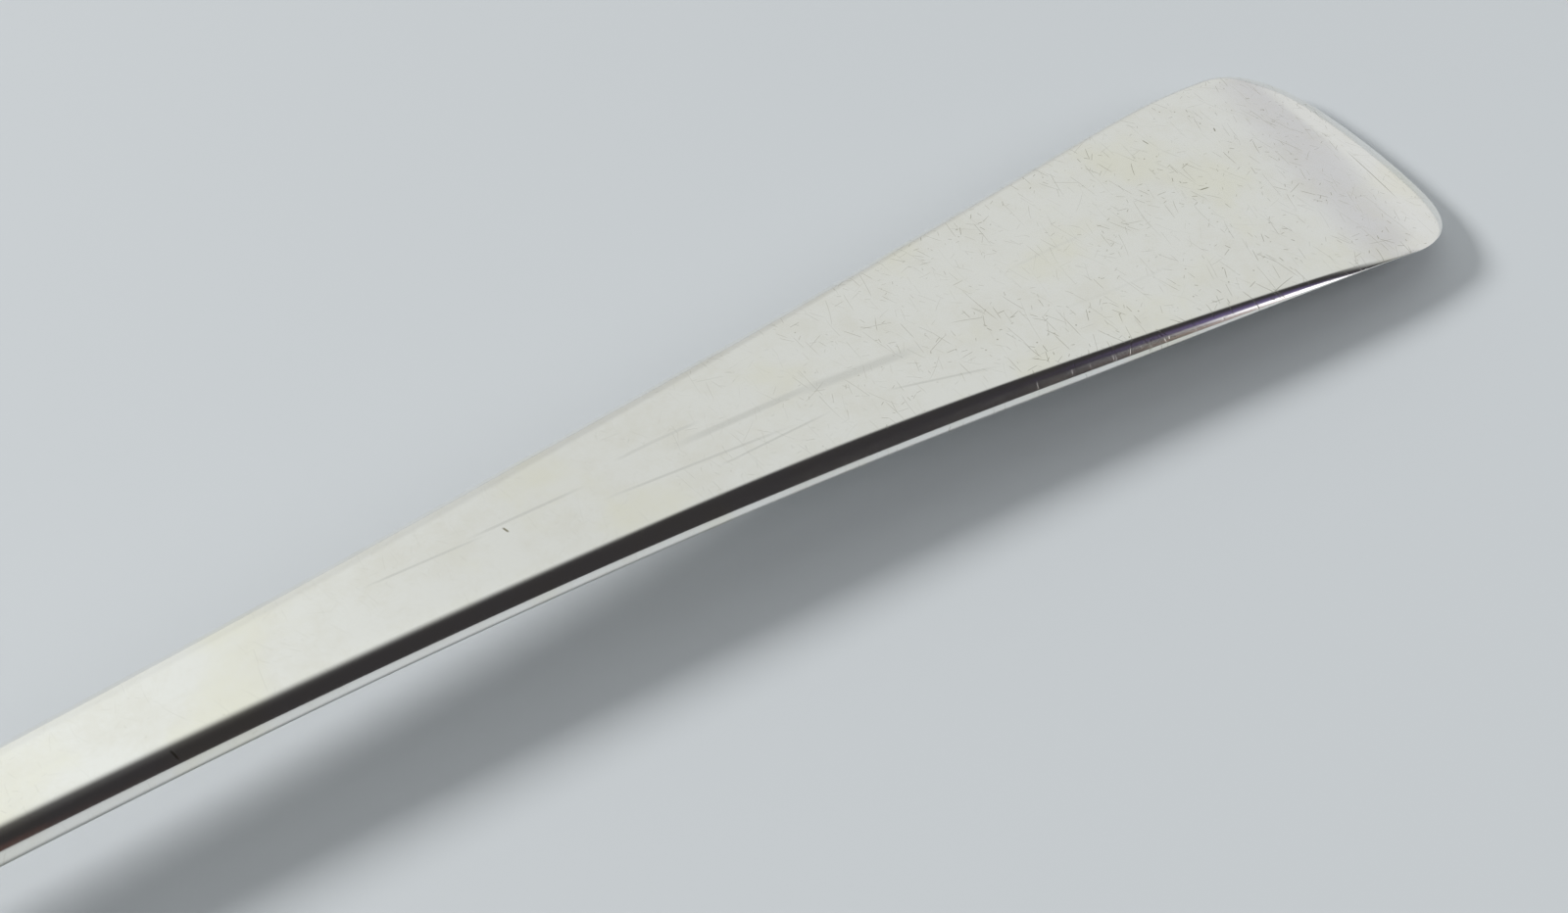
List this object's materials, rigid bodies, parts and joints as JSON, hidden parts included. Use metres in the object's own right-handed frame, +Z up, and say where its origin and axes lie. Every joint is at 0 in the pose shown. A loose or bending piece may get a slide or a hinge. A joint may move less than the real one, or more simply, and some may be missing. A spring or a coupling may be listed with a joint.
{
  "type": "bar spoon",
  "caption": "Long flat-handled spoon in polished silver: egg-shaped bowl, slim stem, and a wide, squared, down-turned handle end. Lies bowl up.",
  "frame": {"origin": "on the table, under the middle of the spoon's length and width", "axes": "+X along the spoon towards the end of the handle, +Y across, +Z up out of the bowl"},
  "size_m": [0.2578, 0.0268, 0.008],
  "materials": {
    "silver": "polished, with fine hairline scratches from use",
    "hard_solder": "polished flush"
  },
  "bodies": {
    "root": {"handle": "silver", "stem": "silver", "bowl": "silver", "scarf_solder": "hard_solder", "bowl_solder": "hard_solder"}
  },
  "joints": []
}
